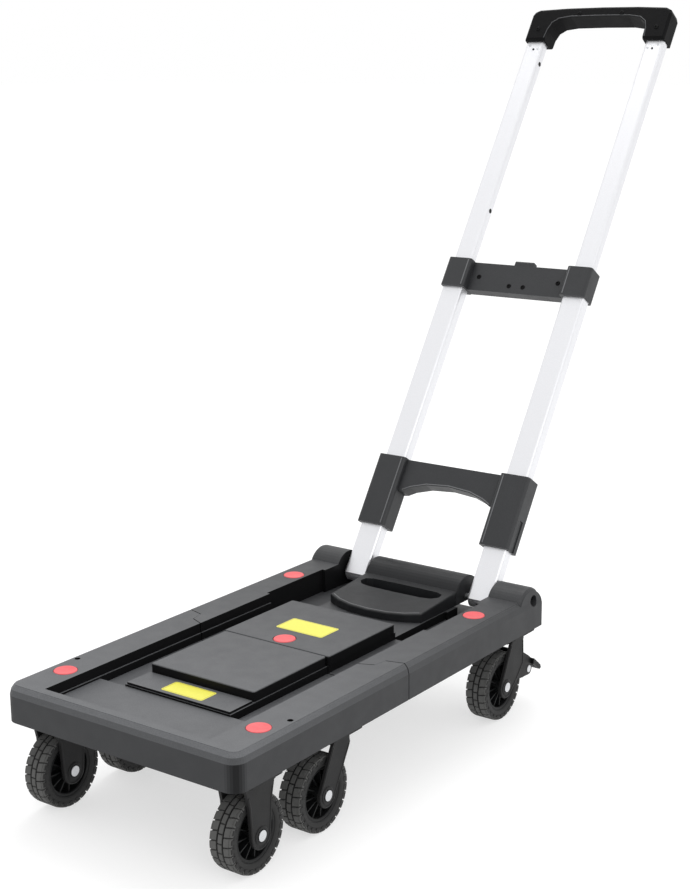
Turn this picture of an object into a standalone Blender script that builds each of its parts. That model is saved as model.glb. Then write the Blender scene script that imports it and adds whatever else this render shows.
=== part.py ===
"""Folding platform cart: two-part sliding deck, telescopic fold-down handle and six small casters.

Units are metres, +Z is up, +Y runs to the handle end and +X is the right side of the deck.
Lengths along the deck are measured from its front edge, and the empty "cart" moves that frame so
that the world origin is under the middle of the whole object.
"""

import math

import bmesh
import bpy
from mathutils import Matrix, Vector

# Deck
DECK_HALF_WIDTH = 0.145
DECK_LENGTH = 0.529
DECK_BOTTOM = 0.0958
DECK_TOP = 0.1331
DECK_CORNER = 0.014
# (inset from the side, height) up the outer wall: rounded edge, fine step, flat top
DECK_EDGE = ((0.0, DECK_BOTTOM), (0.0, 0.1228), (0.0016, 0.1285), (0.0042, 0.1320), (0.0048, 0.1321), (0.0053, DECK_TOP))
SEAM_Y = 0.2355
SEAM_GAP = 0.0012
PANEL_HALF_WIDTH = 0.0655
REAR_PANEL_HALF_WIDTH = 0.0680
PANEL_TOP = 0.1333
LEDGE_Z = 0.1227
CHANNEL_FLOOR = 0.1150
RECESS_FLOOR = 0.1060
SHELF_Z = 0.1250
TRAY_Z = 0.1208
FRONT_PANEL_Y = (0.1215, SEAM_Y - 0.0004)
REAR_PANEL_Y = (SEAM_Y + 0.0008, 0.3520)
CAP_RADIUS = 0.0117
CAP_PLACES = (0.1215, 0.0596, 0.4230)
BUTTON_PLACE = (0.0, 0.2512)
GAP = 0.0003

# Slide rails between the two deck halves
RAIL_X = 0.122
RAIL_SIDE = 0.020
RAIL_WALL = 0.0016
RAIL_BOTTOM = 0.0978
RAIL_FRONT = 0.080
RAIL_BACK = 0.492

# Handle hinge and handle. Handle pieces are built upright in the frame of the tubes, x to the
# right, y to the back and z along the tubes, and the hinge empty leans them back.
HINGE_Y = 0.5045
HINGE_Z = 0.1205
LEAN = math.radians(33.4)
TUBE_FRAME = (0.0, -0.0077, -0.0048)
HUMP_RADIUS = 0.0245
TUBE_X = 0.0834
TUBE_Y = 0.0034
OUTER_TUBE = (0.0285, 0.0173)
INNER_TUBE = (0.0248, 0.0136)
TUBE_WALL = 0.0015
FOOT_X = 0.0848
FOOT = (0.0300, 0.0165)
FOOT_EYE = 0.0105
FOOT_TOP = 0.0829
OUTER_TUBE_SPAN = (0.0835, 0.4115)
INNER_TUBE_SPAN = (0.3820, 0.7640)
LOW_BRACKET_SPAN = (0.0629, 0.1494)
MID_BRACKET_SPAN = (0.3765, 0.4140)
GRIP_SPAN = (0.7260, 0.7734)

# Casters, built about the swivel axis on the floor
WHEEL_RADIUS = 0.0382
TYRE_HALF = 0.0128
RIM_RADIUS = 0.0272
CASTER_X = 0.1175
FRONT_CASTER_Y = 0.0446
MID_CASTER_Y = 0.1673
REAR_CASTER_Y = 0.4960
TRAIL = 0.0240
PLATE_HALF = 0.025
PLATE_TOP = 0.0955
PLATE_BOTTOM = 0.0925
LEG_INNER = 0.0139
LEG_OUTER = 0.0171
PIN_RADIUS = 0.0040
BOLT_HEAD_RADIUS = 0.0053
BRAKE_PIN = (0.0240, 0.0445)


# Scene and materials


def clear_scene():
    for found in list(bpy.data.objects):
        bpy.data.objects.remove(found, do_unlink=True)


def new_collection(name):
    made = bpy.data.collections.new(name)
    bpy.context.scene.collection.children.link(made)
    return made


def material(name, colour, roughness, metallic=0.0):
    made = bpy.data.materials.new(name)
    made.use_nodes = True
    shader = made.node_tree.nodes["Principled BSDF"]
    shader.inputs["Base Color"].default_value = (*colour, 1.0)
    shader.inputs["Roughness"].default_value = roughness
    shader.inputs["Metallic"].default_value = metallic
    return made


clear_scene()
PARTS = new_collection("folding_platform_cart")
CUTTERS = new_collection("cutters")
DECK_PLASTIC = material("deck_plastic", (0.11, 0.11, 0.115), 0.55)
BLACK_PLASTIC = material("black_plastic", (0.03, 0.03, 0.032), 0.50)
CASTER_GREY = material("caster_grey", (0.07, 0.07, 0.072), 0.50)
TYRE_RUBBER = material("tyre_rubber", (0.09, 0.088, 0.085), 0.75)
ALUMINIUM = material("aluminium", (0.86, 0.86, 0.88), 0.35, 0.6)
STEEL = material("steel", (0.62, 0.62, 0.64), 0.30, 1.0)
RED_PLASTIC = material("red_plastic", (0.80, 0.10, 0.09), 0.45)


# Shapes


def new_object(name, bm, finish, parent=None, at=(0, 0, 0), cutter=False):
    """Make the object of a bmesh, under an empty, with its place given in the empty's frame."""
    bmesh.ops.recalc_face_normals(bm, faces=bm.faces)
    mesh = bpy.data.meshes.new(name)
    bm.to_mesh(mesh)
    bm.free()
    made = bpy.data.objects.new(name, mesh)
    made.parent = parent
    made.location = at
    if finish is not None:
        mesh.materials.append(finish)
    if cutter:
        CUTTERS.objects.link(made)
        made.hide_render = True
        made.display_type = "WIRE"
    else:
        PARTS.objects.link(made)
    return made


def block(x, y, z):
    """A closed box from its three ranges."""
    bm = bmesh.new()
    bmesh.ops.create_cube(bm, size=1.0)
    size = [high - low for low, high in (x, y, z)]
    middle = [(high + low) / 2 for low, high in (x, y, z)]
    bmesh.ops.scale(bm, vec=size, verts=bm.verts)
    bmesh.ops.translate(bm, vec=middle, verts=bm.verts)
    return bm


def rod(axis, radius, span, centre, sides=24):
    """A closed cylinder along x, y or z, between two places on that axis."""
    bm = bmesh.new()
    bmesh.ops.create_cone(
        bm, cap_ends=True, segments=sides, radius1=radius, radius2=radius, depth=span[1] - span[0]
    )
    middle = (span[0] + span[1]) / 2
    turn = {"x": ("Y", (middle, *centre)), "y": ("X", (centre[0], middle, centre[1]))}
    if axis == "z":
        bmesh.ops.translate(bm, vec=(*centre, middle), verts=bm.verts)
        return bm
    about, place = turn[axis]
    bmesh.ops.rotate(bm, cent=(0, 0, 0), matrix=Matrix.Rotation(math.pi / 2, 3, about), verts=bm.verts)
    bmesh.ops.translate(bm, vec=place, verts=bm.verts)
    return bm


def slab(outline, span, axis):
    """A flat outline pushed out along an axis. The outline's two numbers are the other two axes."""
    order = {"x": (2, 0, 1), "y": (0, 2, 1), "z": (0, 1, 2)}[axis]
    bm = bmesh.new()
    corners = []
    for point in outline:
        values = (*point, span[0])
        corners.append(bm.verts.new([values[i] for i in order]))
    face = bm.faces.new(corners)
    push = [0.0, 0.0, 0.0]
    push["xyz".index(axis)] = span[1] - span[0]
    made = bmesh.ops.extrude_face_region(bm, geom=[face])
    moved = [item for item in made["geom"] if isinstance(item, bmesh.types.BMVert)]
    bmesh.ops.translate(bm, vec=push, verts=moved)
    return bm


def arc(centre, radius, start, end, steps):
    """Points round part of a circle, from one angle to another in degrees."""
    turn = [math.radians(start + (end - start) * i / steps) for i in range(steps + 1)]
    return [(centre[0] + radius * math.cos(a), centre[1] + radius * math.sin(a)) for a in turn]


def soften(bm, chosen, width, steps=2):
    """Round the edges that a test picks from their two end points."""
    edges = [edge for edge in bm.edges if chosen(edge.verts[0].co, edge.verts[1].co)]
    bmesh.ops.bevel(
        bm, geom=edges, offset=width, segments=steps, profile=0.5, affect="EDGES", clamp_overlap=True
    )
    return bm


def along(axis):
    """A test for edges that run along one axis."""
    i = "xyz".index(axis)
    return lambda a, b: abs(a[i] - b[i]) > 0.9 * (a - b).length


def at_level(axis, value):
    """A test for edges that lie in a plane across one axis."""
    i = "xyz".index(axis)
    return lambda a, b: abs(a[i] - value) < 1e-6 and abs(b[i] - value) < 1e-6


def every(a, b):
    return True


def boolean(target, other, operation="DIFFERENCE"):
    step = target.modifiers.new(other.name, "BOOLEAN")
    step.operation = operation
    step.object = other
    step.solver = "EXACT"


def cut(target, bm, name, parent=None, at=(0, 0, 0)):
    """Cut a bmesh out of an object. The same cutter can go on to cut others."""
    made = new_object(f"cut_{name}", bm, None, parent, at, cutter=True)
    boolean(target, made)
    return made


def join(target, bm, name, parent=None, at=(0, 0, 0)):
    made = new_object(f"add_{name}", bm, None, parent, at, cutter=True)
    boolean(target, made, "UNION")
    return made


def smooth(target, degrees=35):
    target.data.shade_smooth()
    target.data.set_sharp_from_angle(angle=math.radians(degrees))


def turned(name, profile, finish, parent, at, sides=32, axis="X"):
    """A closed profile of (radius, place along the axis) turned round that axis."""
    bm = bmesh.new()
    points = []
    for radius, place in profile:
        points.append(bm.verts.new((place, 0.0, radius)))
    for i, point in enumerate(points):
        bm.edges.new((point, points[(i + 1) % len(points)]))
    mesh = bpy.data.meshes.new(name)
    bm.to_mesh(mesh)
    bm.free()
    made = bpy.data.objects.new(name, mesh)
    made.parent = parent
    made.location = at
    mesh.materials.append(finish)
    PARTS.objects.link(made)
    screw = made.modifiers.new("turn", "SCREW")
    screw.axis = axis
    screw.steps = sides
    screw.render_steps = sides
    screw.use_merge_vertices = True
    screw.merge_threshold = 0.00001
    smooth(made)
    return made


def empty(name, at, parent, lean=0.0):
    made = bpy.data.objects.new(name, None)
    made.location = at
    made.rotation_euler = (-lean, 0.0, 0.0)
    made.parent = parent
    made.empty_display_size = 0.02
    PARTS.objects.link(made)
    return made


def mirrored(outline):
    """Close a half outline at +x with its mirror image."""
    return outline + [(-x, y) for x, y in reversed(outline) if abs(x) > 1e-9]


# Frames. The whole object is centred on its own box, which the grip closes at the back.
GRIP_BACK = 0.0165
GRIP_ROUNDING_LOSS = 0.001572
GRIP_REACH = (GRIP_BACK + TUBE_FRAME[1]) * math.cos(LEAN) + (GRIP_SPAN[1] + TUBE_FRAME[2]) * math.sin(LEAN)
CART = empty("cart", (0.0, -(HINGE_Y + GRIP_REACH - GRIP_ROUNDING_LOSS) / 2, 0.0), None)
HINGE = empty("handle_hinge_axis", (0.0, HINGE_Y, HINGE_Z), CART, LEAN)
HANDLE = empty("handle_tube_frame", TUBE_FRAME, HINGE)


# Deck halves


def channel_cutters():
    """The two long channels that take the folded tubes, shared by both halves."""
    made = []
    for side in (-1, 1):
        shapes = (
            ("upper", (PANEL_HALF_WIDTH - 0.0005, 0.1025), (0.0140, 0.4600), (LEDGE_Z, 0.150)),
            ("lower", (0.0668, 0.1003), (0.0855, 0.4600), (CHANNEL_FLOOR, 0.150)),
            ("hinge", (0.0658, 0.1025), (0.4550, 0.5228), (RECESS_FLOOR, 0.160)),
            ("hinge_back", (0.0658, 0.1025), (0.5180, 0.5400), (0.1270, 0.160)),
            ("bracket_low", (0.0632, 0.1068), (0.3550, 0.4580), (RECESS_FLOOR, 0.150)),
        )
        for name, x, y, z in shapes:
            across = sorted((side * x[0], side * x[1]))
            label = f"{name}_{'left' if side < 0 else 'right'}"
            made.append(new_object(f"cut_{label}", block(across, y, z), None, CART, cutter=True))
    return made


def stacked(levels):
    """A closed body through a stack of outlines. Each level is (outline, height), with as many points."""
    bm = bmesh.new()
    rings = [[bm.verts.new((*point, height)) for point in outline] for outline, height in levels]
    for low, high in zip(rings, rings[1:]):
        for i in range(len(low)):
            j = (i + 1) % len(low)
            bm.faces.new((low[i], low[j], high[j], high[i]))
    bm.faces.new(rings[0])
    bm.faces.new(rings[-1])
    return bm


def deck_half(name, outline, finish=DECK_PLASTIC):
    """One half of the deck: its plan drawn in a little at each step up the outer wall."""
    return new_object(name, stacked([(outline(inset), z) for inset, z in DECK_EDGE]), finish, CART)


def seam(gap, side_x):
    """The stepped line between the halves, from the middle out to the right edge."""
    line = [(0.0985, SEAM_Y), (0.1050, 0.2380), (0.1180, 0.2435), (0.1210, 0.2590), (0.1340, 0.2625), (side_x, 0.2640)]
    return [(x, y + gap) for x, y in line]


def front_outline(inset):
    """Rounded at the front corners and stepped at the seam."""
    centre = (DECK_HALF_WIDTH - DECK_CORNER, DECK_CORNER)
    return mirrored(seam(0.0, DECK_HALF_WIDTH - inset) + arc(centre, DECK_CORNER - inset, 0, -90, 8))


def rear_outline(inset):
    side_x = DECK_HALF_WIDTH - inset
    return mirrored(seam(SEAM_GAP, side_x) + [(side_x, DECK_LENGTH)])


def pockets(target, name, across, rows):
    """Underside pockets between ribs."""
    for i, (low, high) in enumerate(rows):
        for j, x in enumerate(across):
            cut(target, block(x, (low, high), (DECK_BOTTOM - 0.01, 0.1070)), f"{name}_{i}{j}", CART)


def base_plate(name, target, y):
    """A thin plate let into the underside, which closes the pockets."""
    cut(target, block((-0.0883, 0.0883), y, (DECK_BOTTOM - 0.01, 0.0978)), f"{name}_seat", CART)
    span = (y[0] + GAP, y[1] - GAP)
    bm = block((-0.0880, 0.0880), span, (DECK_BOTTOM, 0.0975))
    soften(bm, along("z"), 0.004, 2)
    return new_object(name, bm, BLACK_PLASTIC, CART)


def rail_bays(target, name, y):
    for side in (-1, 1):
        half = RAIL_SIDE / 2 + 0.0006
        x = (side * RAIL_X - half, side * RAIL_X + half)
        z = (DECK_BOTTOM - 0.01, RAIL_BOTTOM + RAIL_SIDE + 0.0006)
        cut(target, block(x, y, z), f"{name}_bay_{side}", CART)


def red_caps(target, row, y):
    for side, word in ((-1, "left"), (1, "right")):
        x = side * CAP_PLACES[0]
        seat = rod("z", CAP_RADIUS + 0.0004, (DECK_TOP - 0.0022, DECK_TOP + 0.01), (x, y), 32)
        cut(target, seat, f"cap_{row}_{word}", CART)
        bm = rod("z", CAP_RADIUS, (DECK_TOP - 0.0019, DECK_TOP + 0.0004), (x, y), 32)
        soften(bm, at_level("z", DECK_TOP + 0.0004), 0.0004, 1)
        smooth(new_object(f"red_cap_{row}_{word}", bm, RED_PLASTIC, CART))


def panel(name, half_width, y, finish=DECK_PLASTIC):
    """A raised lid: a flat plate with a skirt, hollow underneath."""
    x = (-half_width, half_width)
    bm = block(x, y, (LEDGE_Z + GAP, PANEL_TOP))
    soften(bm, along("z"), 0.002, 2)
    soften(bm, at_level("z", PANEL_TOP), 0.0010, 2)
    made = new_object(name, bm, finish, CART)
    inner = block((x[0] + 0.003, x[1] - 0.003), (y[0] + 0.003, y[1] - 0.003), (LEDGE_Z - 0.01, PANEL_TOP - 0.003))
    cut(made, inner, f"{name}_hollow", CART)
    return made


channels = channel_cutters()

front_deck = deck_half("front_deck", front_outline)
for cutter in channels[:2] + channels[5:7]:
    boolean(front_deck, cutter)
middle = (-PANEL_HALF_WIDTH - 0.0005, PANEL_HALF_WIDTH + 0.0005)
cut(front_deck, block(middle, (0.1195, 0.27), (LEDGE_Z, 0.150)), "front_panel_seat", CART)
cut(front_deck, block(middle, (0.0855, 0.1215), (SHELF_Z, 0.150)), "shelf", CART)
cut(front_deck, block(middle, (0.0140, 0.0865), (LEDGE_Z, 0.150)), "tray_ledge", CART)
cut(front_deck, block((-0.1003, 0.1003), (0.0165, 0.0855), (TRAY_Z, 0.150)), "tray", CART)
rail_bays(front_deck, "front", (RAIL_FRONT - 0.002, 0.30))
base_plate("front_base", front_deck, (0.014, 0.222))
pockets(front_deck, "front_pocket", ((-0.0560, -0.0040), (0.0040, 0.0560)), ((0.020, 0.080), (0.086, 0.150), (0.156, 0.216)))
for side in (-1, 1):
    hole = rod("z", 0.0030, (DECK_TOP - 0.004, 0.150), (side * 0.1345, 0.0888), 16)
    cut(front_deck, hole, f"rim_hole_{side}", CART)
red_caps(front_deck, "front", CAP_PLACES[1])
smooth(front_deck)

rear_deck = deck_half("rear_deck", rear_outline)
for side, word in ((-1, "left"), (1, "right")):
    x = sorted((side * 0.1025, side * 0.1435))
    hump = rod("x", HUMP_RADIUS, x, (HINGE_Y, HINGE_Z), 40)
    soften(hump, at_level("x", side * 0.1435), 0.0040, 3)
    join(rear_deck, hump, f"hump_{word}", CART)
for cutter in channels:
    boolean(rear_deck, cutter)
rear_seat = (-REAR_PANEL_HALF_WIDTH - 0.0005, REAR_PANEL_HALF_WIDTH + 0.0005)
cut(rear_deck, block(rear_seat, (0.22, 0.3530), (LEDGE_Z, 0.150)), "rear_panel_seat", CART)
cut(rear_deck, block(middle, (0.3510, 0.540), (CHANNEL_FLOOR, 0.150)), "carry_seat", CART)
cut(rear_deck, block(middle, (0.4790, 0.540), (0.0990, 0.150)), "barrel_trough", CART)
finger_room = block((-0.058, 0.058), (0.4440, 0.4785), (0.1000, 0.150))
soften(finger_room, along("z"), 0.010, 4)
cut(rear_deck, finger_room, "finger_room", CART)
rail_bays(rear_deck, "rear", (0.22, RAIL_BACK + 0.002))
base_plate("rear_base", rear_deck, (0.248, 0.440))
pockets(rear_deck, "rear_pocket", ((-0.0560, -0.0040), (0.0040, 0.0560)), ((0.254, 0.300), (0.306, 0.370), (0.376, 0.434)))
axle_hole = rod("x", PIN_RADIUS + GAP, (-0.1310, 0.1310), (HINGE_Y, HINGE_Z), 20)
axle_cutter = cut(rear_deck, axle_hole, "hinge_axle", CART)
for side in (-1, 1):
    end = rod("x", 0.0065, sorted((side * 0.1360, side * 0.15)), (0.5120, 0.1285), 20)
    cut(rear_deck, end, f"hump_hole_{side}", CART)
button_hole = rod("z", CAP_RADIUS + 0.0006, (0.10, 0.150), BUTTON_PLACE, 32)
red_caps(rear_deck, "rear", CAP_PLACES[2])
cut(rear_deck, rod("z", 0.0056, (0.1078, 0.150), BUTTON_PLACE, 20), "button_stem", CART)
smooth(rear_deck)

front_panel = panel("front_panel", PANEL_HALF_WIDTH, FRONT_PANEL_Y)
rear_panel = panel("rear_panel", REAR_PANEL_HALF_WIDTH, REAR_PANEL_Y)
cut(rear_panel, button_hole, "button_ring", CART)

# Carry handle: a curved plate with a finger slot, and the barrel between the two handle feet
plate_outline = mirrored(
    [(0.0, 0.3955), (0.0250, 0.3975), (0.0450, 0.4035), (0.0610, 0.4125), (0.0620, 0.4940), (0.0, 0.4940)]
)
plate = slab(plate_outline, (CHANNEL_FLOOR + GAP, 0.1305), "z")
for vert in plate.verts:
    if vert.co.z > 0.13:
        vert.co.z = 0.1238 + 0.0852 * (vert.co.y - 0.3955)
soften(plate, lambda a, b: min(a.z, b.z) > 0.12, 0.0015, 2)
carry_handle = new_object("carry_handle", plate, DECK_PLASTIC, CART)
barrel = rod("x", HUMP_RADIUS - 0.0003, (-0.0622, 0.0622), (HINGE_Y, HINGE_Z), 40)
join(carry_handle, barrel, "barrel", CART)
cut(carry_handle, block((-0.07, 0.07), (0.47, 0.54), (0.08, CHANNEL_FLOOR + GAP)), "barrel_under", CART)
slot = slab(
    mirrored([(0.0, 0.4500), (0.0350, 0.4505), (0.0470, 0.4530), (0.0535, 0.4600), (0.0520, 0.4680), (0.0440, 0.4715), (0.0, 0.4725)]),
    (0.10, 0.15),
    "z",
)
cut(carry_handle, slot, "finger_slot", CART)
boolean(carry_handle, axle_cutter)
smooth(carry_handle)

# Hinge axle
axle = rod("x", PIN_RADIUS, (-0.1305, 0.1305), (HINGE_Y, HINGE_Z), 20)
smooth(new_object("hinge_axle", axle, STEEL, CART))

# Extension lock button, with a stem that reaches down between the halves
cap = rod("z", CAP_RADIUS, (PANEL_TOP - 0.0052, PANEL_TOP + 0.0006), BUTTON_PLACE, 32)
soften(cap, at_level("z", PANEL_TOP + 0.0006), 0.0006, 1)
button_axis = empty("lock_button_axis", (*BUTTON_PLACE, PANEL_TOP), CART)
lock_button = new_object(
    "lock_button", cap, RED_PLASTIC, button_axis, (-BUTTON_PLACE[0], -BUTTON_PLACE[1], -PANEL_TOP)
)
stem = rod("z", 0.0050, (0.1115, PANEL_TOP - 0.0045), BUTTON_PLACE, 20)
join(lock_button, stem, "button_stem", CART)
smooth(lock_button)

# Slide rails: square tubes fixed in the rear half, with the front half running on them
for side, word in ((-1, "left"), (1, "right")):
    half = RAIL_SIDE / 2
    x = (side * RAIL_X - half, side * RAIL_X + half)
    z = (RAIL_BOTTOM, RAIL_BOTTOM + RAIL_SIDE)
    bm = block(x, (RAIL_FRONT, RAIL_BACK), z)
    soften(bm, along("y"), 0.0020, 2)
    rail = new_object(f"slide_rail_{word}", bm, STEEL, CART)
    inner = block(
        (x[0] + RAIL_WALL, x[1] - RAIL_WALL), (0.0, 0.6), (z[0] + RAIL_WALL, z[1] - RAIL_WALL)
    )
    cut(rail, inner, f"rail_{word}", CART)


# Casters


def tyre_profile():
    """Flat tread with rounded shoulders and sides that draw in to the rim."""
    inner = RIM_RADIUS + GAP
    half = [(inner, 0.0110), (0.0335, TYRE_HALF), (0.0366, 0.0122), (WHEEL_RADIUS, 0.0098)]
    return half + [(radius, -place) for radius, place in reversed(half)]


def hub_profile():
    """Bore, boss, thin web and the rim that carries the tyre."""
    bore = PIN_RADIUS + GAP
    half = [(bore, 0.0126), (0.0085, 0.0126), (0.0095, 0.0040), (0.0215, 0.0040), (RIM_RADIUS, 0.0108)]
    return half + [(radius, -place) for radius, place in reversed(half)]


def wheel(place, word, parent):
    """Tyre and hub, turned about the axle."""
    centre = empty(f"wheel_axis_{word}", place, parent)
    turned(f"tyre_{word}", tyre_profile(), TYRE_RUBBER, centre, (0, 0, 0), 32)
    turned(f"hub_{word}", hub_profile(), BLACK_PLASTIC, centre, (0, 0, 0), 24)


def axle_bolt(place, word, parent):
    """A plain pin with a low round head at each end."""
    bm = rod("x", PIN_RADIUS, (-LEG_OUTER - 0.0008, LEG_OUTER + 0.0008), (0.0, 0.0), 16)
    made = new_object(f"axle_{word}", bm, STEEL, parent, place)
    for side in (-1, 1):
        span = sorted((side * (LEG_OUTER + GAP), side * (LEG_OUTER + 0.0014)))
        head = rod("x", BOLT_HEAD_RADIUS, span, (0.0, 0.0), 20)
        join(made, head, f"axle_head_{word}_{side}", parent, place)
    smooth(made)


def leg_outline(top, axle_y, boss, start, end):
    """A fork leg from the side: its top edge, then round under the axle."""
    return top + arc((axle_y, WHEEL_RADIUS), boss, start, end, 8)


def fork(word, parent, top, axle_y, boss, start, end, crown):
    """Two flat legs under a crown. The crown's outline is in plan."""
    outline = leg_outline(top, axle_y, boss, start, end)
    x = (LEG_INNER, LEG_OUTER)
    made = new_object(f"fork_{word}", slab(outline, x, "x"), CASTER_GREY, parent)
    left = slab(outline, (-LEG_OUTER, -LEG_INNER), "x")
    join(made, crown, f"crown_{word}", parent)
    join(made, left, f"leg_{word}", parent)
    hole = rod("x", PIN_RADIUS + GAP, (-0.03, 0.03), (axle_y, WHEEL_RADIUS), 20)
    cut(made, hole, f"axle_{word}", parent)
    return made


def swivel_caster(word, place, braked):
    """Top plate with its kingpin, a trailing fork and a wheel. The brake pedal hangs on the fork."""
    base = empty(f"caster_{word}", place, CART)
    bm = block((-PLATE_HALF, PLATE_HALF), (-PLATE_HALF, PLATE_HALF), (PLATE_BOTTOM, PLATE_TOP))
    soften(bm, along("z"), 0.005, 3)
    plate = new_object(f"caster_plate_{word}", bm, CASTER_GREY, base)
    rail_x = math.copysign(RAIL_X, place[0]) - place[0]
    if not braked:
        pad = block((rail_x - 0.0085, rail_x + 0.0085), (-0.024, 0.024), (PLATE_BOTTOM + 0.001, RAIL_BOTTOM - GAP))
        join(plate, pad, f"pad_{word}", base)
    join(plate, rod("z", 0.0175, (0.0896, PLATE_BOTTOM + 0.0005), (0, 0), 28), f"race_{word}", base)
    join(plate, rod("z", PIN_RADIUS, (0.0790, PLATE_BOTTOM), (0, 0), 20), f"kingpin_{word}", base)
    join(plate, rod("z", 0.0066, (0.0788, 0.0836), (0, 0), 6), f"nut_{word}", base)

    swivel = empty(f"swivel_axis_{word}", (0, 0, 0), base)
    top = [(-0.0155, 0.0840), (-0.0130, 0.0880), (0.0106, 0.0880), (0.0125, 0.0800)]
    if braked:
        pin_y, pin_z = BRAKE_PIN
        ear = arc((pin_y, pin_z), 0.0070, 40, -80, 5)
        top = [(-0.0155, 0.0840), (-0.0130, 0.0880), (0.0106, 0.0880), (0.0122, 0.0640), (0.0160, 0.0560)]
        top = top + ear + [(-0.0020, 0.0395)]
    crown = block((-LEG_OUTER - 0.0003, LEG_OUTER + 0.0003), (-0.0134, 0.0112), (0.0842, 0.0886))
    made = fork(word, swivel, top, -TRAIL, 0.0126, -10 if not braked else -45, -195, crown)
    join(made, rod("z", 0.0164, (0.0838, 0.0890), (0, 0), 28), f"race_fork_{word}", swivel)
    cut(made, rod("z", PIN_RADIUS + GAP, (0.07, 0.10), (0, 0), 20), f"kingpin_hole_{word}", swivel)
    smooth(made)
    axle_bolt((0, -TRAIL, WHEEL_RADIUS), word, swivel)
    wheel((0, -TRAIL, WHEEL_RADIUS), word, swivel)
    if braked:
        ears = rod("x", 0.0023 + GAP, (-0.03, 0.03), BRAKE_PIN, 16)
        cut(made, ears, f"brake_pin_{word}", swivel)
        brake_pedal(word, swivel)


def brake_pedal(word, swivel):
    """A sloping foot lever on a cross pin between the fork's ears."""
    pin_y, pin_z = BRAKE_PIN
    axis = empty(f"brake_axis_{word}", (0, pin_y, pin_z), swivel)
    profile = [(-0.0150, 0.0205), (-0.0120, 0.0245), (0.0060, 0.0130), (0.0270, -0.0035), (0.0285, -0.0075),
               (0.0250, -0.0085), (0.0060, 0.0040), (0.0030, -0.0080), (-0.0080, -0.0095), (-0.0085, -0.0060),
               (-0.0055, 0.0000), (-0.0048, 0.0110)]
    bm = slab(profile, (-0.0134, 0.0134), "x")
    soften(bm, along("x"), 0.0008, 1)
    made = new_object(f"brake_pedal_{word}", bm, BLACK_PLASTIC, axis)
    tread = slab(
        [(0.0120, 0.0083), (0.0270, -0.0035), (0.0285, -0.0075), (0.0250, -0.0085), (0.0115, 0.0018)],
        (-0.0170, 0.0170),
        "x",
    )
    join(made, tread, f"pedal_tread_{word}", axis)
    pin = rod("x", 0.0023, (-0.0180, 0.0180), (0, 0), 16)
    join(made, pin, f"pedal_pin_{word}", axis)
    smooth(made)


def rigid_caster(word, place):
    """A fixed fork: plate, crown and two straight legs in one."""
    base = empty(f"caster_{word}", place, CART)
    top = [(-0.0160, 0.0700), (-0.0205, 0.0900), (0.0205, 0.0900), (0.0160, 0.0700)]
    crown = block((-LEG_OUTER - 0.0003, LEG_OUTER + 0.0003), (-0.0209, 0.0209), (0.0860, PLATE_BOTTOM + 0.001))
    made = fork(word, base, top, 0.0, 0.0136, 0, -180, crown)
    plate = block((-PLATE_HALF, PLATE_HALF), (-PLATE_HALF, PLATE_HALF), (PLATE_BOTTOM, PLATE_TOP))
    soften(plate, along("z"), 0.005, 3)
    join(made, plate, f"plate_{word}", base)
    smooth(made)
    axle_bolt((0, 0, WHEEL_RADIUS), word, base)
    wheel((0, 0, WHEEL_RADIUS), word, base)


for side, word in ((-1, "left"), (1, "right")):
    rigid_caster(f"front_{word}", (side * CASTER_X, FRONT_CASTER_Y, 0))
    swivel_caster(f"mid_{word}", (side * CASTER_X, MID_CASTER_Y, 0), False)
    swivel_caster(f"rear_{word}", (side * CASTER_X, REAR_CASTER_Y, 0), True)


# Handle


def box_tube(name, x, size, span, parent, wall=TUBE_WALL):
    """A rectangular tube with rounded corners, open at both ends."""
    wide, deep = size
    bm = block((x - wide / 2, x + wide / 2), (TUBE_Y - deep / 2, TUBE_Y + deep / 2), span)
    soften(bm, along("z"), 0.0035, 3)
    made = new_object(name, bm, ALUMINIUM, parent)
    hole = block(
        (x - wide / 2 + wall, x + wide / 2 - wall),
        (TUBE_Y - deep / 2 + wall, TUBE_Y + deep / 2 - wall),
        (span[0] - 0.01, span[1] + 0.01),
    )
    soften(hole, along("z"), 0.0022, 3)
    cut(made, hole, name, parent)
    smooth(made)
    return made


def bore(target, name, x, size, span, room=GAP):
    wide, deep = size[0] / 2 + room, size[1] / 2 + room
    hole = block((x - wide, x + wide), (TUBE_Y - deep, TUBE_Y + deep), span)
    soften(hole, along("z"), 0.0035, 3)
    cut(target, hole, name, HANDLE)


TUBE_SIDES = ((-1, "left"), (1, "right"))
for side, word in TUBE_SIDES:
    x = side * FOOT_X
    wide, deep = FOOT
    shank = block((x - wide / 2, x + wide / 2), (TUBE_Y - deep / 2, TUBE_Y + deep / 2), (0.0, FOOT_TOP))
    soften(shank, along("z"), 0.0030, 3)
    foot = new_object(f"handle_foot_{word}", shank, ALUMINIUM, HANDLE)
    join(foot, rod("x", FOOT_EYE, (x - wide / 2, x + wide / 2), (0.0, 0.0), 28), f"eye_{word}", HINGE)
    cut(foot, rod("x", PIN_RADIUS + GAP, (x - 0.02, x + 0.02), (0.0, 0.0), 20), f"foot_{word}", HINGE)
    smooth(foot)
    box_tube(f"outer_tube_{word}", side * TUBE_X, OUTER_TUBE, OUTER_TUBE_SPAN, HANDLE)

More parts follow.
